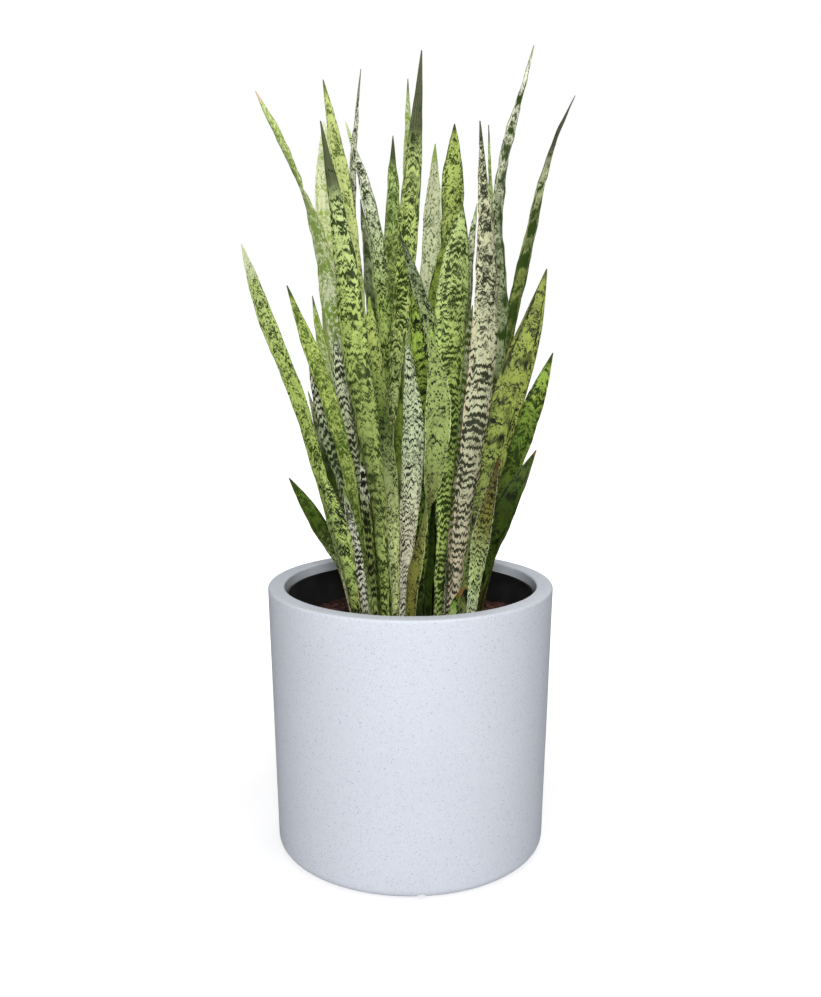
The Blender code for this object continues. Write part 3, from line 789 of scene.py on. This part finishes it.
leafPaint = {
    "stops": (0.0, 0.3, 0.65, 0.9),  # where the four colours sit along the leaf
    "change": (0.45, 0.75),  # where a lower pattern turns into an upper one
    "edge": (0.86, 0.1, 0.7),  # where the edge's colour starts, over what width, how strong
    "tip": (0.3, 0.9),  # the share of the tip its colour takes to come in, how strong
    "foot": (0.012, 0.02, 0.8),  # up to where the foot is brown, over what length, how strong
}
leafFinish = {
    "leaf_lime": {"Roughness": 0.48, "Specular IOR Level": 0.2},
    "leaf_silver": {"Roughness": 0.55, "Specular IOR Level": 0.18},
    "leaf_pale": {"Roughness": 0.48, "Specular IOR Level": 0.2},
    "leaf_deep": {"Roughness": 0.42, "Specular IOR Level": 0.24},
}


def leafMaterial(slot):
    made, shader, wire = newMaterial(slot + "_skin", leafFinish[slot])
    across, along, side = wire.attribute("place").parts()
    seed = wire.attribute("blade").parts()[2]
    blotchForce, dashForce, dotForce = wire.attribute("style").parts()
    lineForce, pitch, waveForce = wire.attribute("rhythm").parts()
    # ground: the leaf's colour with painted light and painted shade from leafLooks
    ground = wire.attribute("ground", "Color")
    marks = wire.attribute("marks", "Color")
    deep = seed + side * 3

    def cloud(sideways, lengthways, layer, detail=1.0):
        return wire.noise(wire.spot(across * sideways, lengthways, deep + layer), 1.0, detail, 0.6)

    # every band is made of short streaks along the leaf, so its edge is ragged;
    # a force below 1 leaves less of it
    streak = cloud(480, along * 26, 0) - 0.5
    wave = cloud(95, along * 28, 9) - 0.5
    bent = along + streak * 0.012 + wave * 0.016 + wire.math("ABSOLUTE", across) * 0.3
    blotches = (cloud(22, bent / (pitch * 1.5), 3, 2.0) + (blotchForce - 1) * 0.25).above(0.52, 0.12)

    # wavy bands break up into specks, and come and go along the leaf
    specks = cloud(560, along * 300, 12, 2.0) - 0.5
    crowd = cloud(12, along * 26, 13) - 0.5
    ring = wire.math("PINGPONG", bent / pitch + (cloud(14, along * 9, 1) - 0.5) * 1.6, 0.5)
    band = cloud(70, along * 60, 5) * 0.8 + specks * 0.5 + crowd * 0.7 + waveForce * 0.5 - ring
    waves = band.above(0.64, 0.12)

    gate = cloud(50, bent / (pitch * 0.9), 7)
    dash = cloud(150, bent * 400, 2) + (gate - 0.5) * 0.5 + crowd * 0.3 + (dashForce - 1) * 0.3
    dashes = dash.above(0.52, 0.14)

    cell = wire.cells(wire.spot(across * 300, along * 200, deep))
    dots = (1 - (cell - dotForce * 0.34).above(0.0, 0.2)) * cloud(90, along * 45, 6).above(0.47, 0.1)

    rung = wire.math("PINGPONG", (bent + wave * 0.01) / pitch, 0.5) * pitch
    line = rung + specks * 0.002 - lineForce * 0.002
    lines = (1 - line.above(-0.0006, 0.0008)) * cloud(60, along * 40, 8).above(0.42, 0.12)

    mark = blotches.most(waves).most(dashes).most(dots).most(lines).clamp()
    patch = cloud(45, along * 16, 4, 2.0)
    mark = mark * (0.7 + patch * 0.6).clamp()
    skin = wire.blend(ground, marks, mark)
    glow = cloud(240, along * 20, 11, 2.0)
    tint = 0.58 + patch * 0.42 + glow * 0.42
    skin = wire.blend(skin, wire.spot(tint, tint, tint), 1.0, "MULTIPLY")
    plug(skin, shader.inputs["Base Color"])
    rough = leafFinish[slot]["Roughness"]
    plug(rough + (glow - 0.5) * 0.2 + mark * 0.06, shader.inputs["Roughness"])
    bump(wire, streak * 0.6 + glow * 0.5 - mark * 0.25, 0.4, 0.0008, shader)
    return made


def leafRings(shape):
    # sorts a leaf's points into rings, foot first; each ring runs left edge, back, right edge, front
    count = leafShape["ringPoints"]
    ring = sorted(shape.verts, key=lambda vert: vert.co.z)[:count]
    rings, seen = [], set()
    while ring:
        rings.append(ring)
        seen.update(ring)
        ring = list({edge.other_vert(vert) for vert in ring for edge in vert.link_edges} - seen)
    ordered = []
    for ring in rings:
        members = set(ring)
        walk = [ring[0]]
        while len(walk) < count:
            for edge in walk[-1].link_edges:
                other = edge.other_vert(walk[-1])
                onSide = any(not set(face.verts) <= members for face in edge.link_faces)
                if other in members and other not in walk and onSide:
                    walk.append(other)
                    break
        half = count // 2
        start = max(range(half), key=lambda i: (walk[i].co - walk[i + half].co).length)
        ordered.append(walk[start:] + walk[:start])
    return [turnRing(ordered, i) for i in range(len(ordered))]


def turnRing(rings, i):
    # starts a ring at its left edge and runs it round the back
    ring = rings[i]
    half = len(ring) // 2
    middle = (ring[0].co + ring[half].co) / 2
    quarter = half // 2
    if (ring[quarter].co - middle).length < (ring[half + quarter].co - middle).length:
        ring = [ring[0]] + ring[:0:-1]
    before = rings[max(i - 1, 0)]
    after = rings[min(i + 1, len(rings) - 1)]
    along = sum((v.co for v in after), Vector()) - sum((v.co for v in before), Vector())
    front = ring[half + quarter].co - ring[quarter].co
    side = along.cross(front)
    if (ring[half].co - ring[0].co).dot(side) < 0:
        ring = [ring[half]] + ring[half - 1::-1] + ring[:half:-1]
    return ring


def leafCage(node):
    # a copy of the leaf's solid, merged, with its triangles joined back into a cage of squares
    mesh = frame["nodes"][node].data.copy()
    mesh.materials.clear()
    piece = bpy.data.objects.new(node + "_blade", mesh)
    scene.collection.objects.link(piece)
    startEdit(piece, "EDGE")
    bpy.ops.mesh.select_all(action="SELECT")
    bpy.ops.mesh.remove_doubles(threshold=0.00002)
    shape = bmesh.from_edit_mesh(piece.data)
    place = shape.verts.layers.float_vector.new("place")
    blade = shape.verts.layers.float_vector.new("blade")
    facing = shape.verts.layers.float_vector.new("facing")
    crease = shape.edges.layers.float.new("crease_edge")
    rings = leafRings(shape)
    spot = {vert: (i, j) for i, ring in enumerate(rings) for j, vert in enumerate(ring)}
    count = leafShape["ringPoints"]

    def needless(edge):
        (i, j), (k, l) = (spot[vert] for vert in edge.verts)
        return (i != k and j != l) or (i == k and (j - l) % count not in (1, count - 1))

    # for each point of a ring: its place across the leaf, and 0 on the back, 1 on the front
    shares = (-1, -0.55, 0, 0.55, 1, 0.5, 0, -0.5)
    sides = (0.5, 0, 0, 0, 0.5, 1, 1, 1)
    centres = [sum((vert.co for vert in ring), Vector()) / count for ring in rings]
    length = -leafShape["rootDepth"]
    lengths = []
    for i, centre in enumerate(centres):
        length += (centre - centres[i - 1]).length if i else 0
        lengths.append(length)
    seed = int(node[-2:]) * 2.37
    for i, ring in enumerate(rings):
        half = (ring[0].co - ring[4].co).length / 2
        front = (ring[6].co - ring[2].co).normalized()
        for j, vert in enumerate(ring):
            vert[place] = (shares[j] * half, lengths[i], sides[j])
            vert[blade] = (shares[j], max(lengths[i], 0) / lengths[-1], seed)
            vert[facing] = front
    for edge in shape.edges:
        (i, j), (k, l) = (spot[vert] for vert in edge.verts)
        if i != k and j == l and j in (0, 4):
            edge[crease] = leafShape["edgeCrease"]
        if i == k and i in (0, len(rings) - 1):
            edge[crease] = 1.0
    bmesh.update_edit_mesh(piece.data)
    pickEdges(piece, needless)
    bpy.ops.mesh.dissolve_edges(use_verts=False)
    endEdit()
    return piece


def readPoints(mesh, name):
    values = np.zeros(len(mesh.vertices) * 3, np.float32)
    mesh.attributes[name].data.foreach_get("vector", values)
    return values.reshape(-1, 3)


def writePoints(mesh, name, kind, values):
    attribute = mesh.attributes.new(name, kind, "POINT")
    field = "color" if kind == "FLOAT_COLOR" else "vector"
    attribute.data.foreach_set(field, values.astype(np.float32).ravel())


def paintBlade(mesh, node):
    # colours and pattern strengths along and across the leaf
    pattern, marks, steps, (tip, tipLength), edge = leafLooks[node]
    place, blade = readPoints(mesh, "place"), readPoints(mesh, "blade")
    share, across, along = blade[:, 1], blade[:, 0], place[:, 1]
    length = along.max()
    draw = random.Random(node)
    warmth = draw.uniform(0.94, 1.06)
    tones = np.array([paints[step] for step in steps])
    # ground: the foot-to-top colours, with the painted light and painted shade they carry
    ground = np.stack([np.interp(share, leafPaint["stops"], tones[:, c]) for c in range(4)], 1)

    def mixIn(name, amount):
        target = np.array(paints[name])
        ground[:] = ground * (1 - amount[:, None]) + target * amount[:, None]

    start, reach, force = leafPaint["edge"]
    mixIn(edge, np.clip((np.abs(across) - start) / reach, 0, 1) * force)
    reach, force = leafPaint["tip"]
    mixIn(tip, np.clip((along - length + tipLength) / (tipLength * reach), 0, 1) * force)
    top, reach, force = leafPaint["foot"]
    mixIn("brown", np.clip((top - along) / reach, 0, 1) * force)
    ground[:, 0] *= warmth
    writePoints(mesh, "ground", "FLOAT_COLOR", ground)
    dark = np.array(paints[marks]) * np.ones((len(share), 1))
    writePoints(mesh, "marks", "FLOAT_COLOR", dark)
    lower, upper = (patterns[name] for name in (pattern.split() * 2)[:2])
    forces = np.stack([np.interp(share, leafPaint["change"], pair) for pair in zip(lower, upper)], 1)
    forces[:, :5] *= np.clip((length - along) / tipLength, 0.25, 1)[:, None]
    forces[:, 5] = lower[5] * draw.uniform(0.9, 1.15)
    writePoints(mesh, "style", "FLOAT_VECTOR", forces[:, (0, 1, 2)])
    writePoints(mesh, "rhythm", "FLOAT_VECTOR", forces[:, (3, 5, 4)])


def waveBlade(mesh, node):
    # waves along both edges, shallow grooves along the face
    draw = random.Random(node + "wave")
    points = np.zeros(len(mesh.vertices) * 3, np.float32)
    mesh.vertices.foreach_get("co", points)
    points = points.reshape(-1, 3)
    place, blade, facing = (readPoints(mesh, name) for name in ("place", "blade", "facing"))
    facing /= np.linalg.norm(facing, axis=1)[:, None]
    along, across = place[:, 1], blade[:, 0]
    width = np.abs(place[:, 0]).max()
    moved = np.zeros(len(along))
    for edge in (-1, 1):
        reach = np.clip(across * edge, 0, 1) ** 2.2
        ripple = np.zeros(len(along))
        for waveLength, share in leafShape["waves"]:
            turn = draw.uniform(0, math.tau)
            stretch = draw.uniform(0.85, 1.2)
            ripple += share * np.sin(along * math.tau / (waveLength * stretch) + turn)
        moved += reach * ripple * leafShape["wave"] * min(width / leafShape["fullWave"], 1)
    fade = np.clip(along / leafShape["stillFoot"], 0, 1)
    fade = fade * np.clip((along.max() - along) / leafShape["stillTip"], 0, 1)
    grooves = np.cos(across * math.pi * draw.choice((3, 4, 5)) + draw.uniform(0, 3))
    moved = (moved + grooves * leafShape["groove"] * (1 - across**4)) * fade
    points += facing * moved[:, None]
    mesh.vertices.foreach_set("co", points.ravel())
    mesh.update()


def buildLeaf(node, slot, material):
    piece = leafCage(node)
    modifier = piece.modifiers.new("rounded", "SUBSURF")
    modifier.levels = modifier.render_levels = leafShape["levels"]
    applyAll(piece)
    waveBlade(piece.data, node)
    paintBlade(piece.data, node)
    smooth(piece, 60)
    piece.data.materials.append(material)
    finishPiece(piece, slot, node)


slots = {part["node"]: part["material_slot"] for part in frame["record"]["subparts"]}
leafSkins = {slot: leafMaterial(slot) for slot in leafFinish}
for leafNode in sorted(leafLooks):
    buildLeaf(leafNode, slots[leafNode], leafSkins[slots[leafNode]])
print("leaves are grown:", len(leafLooks))
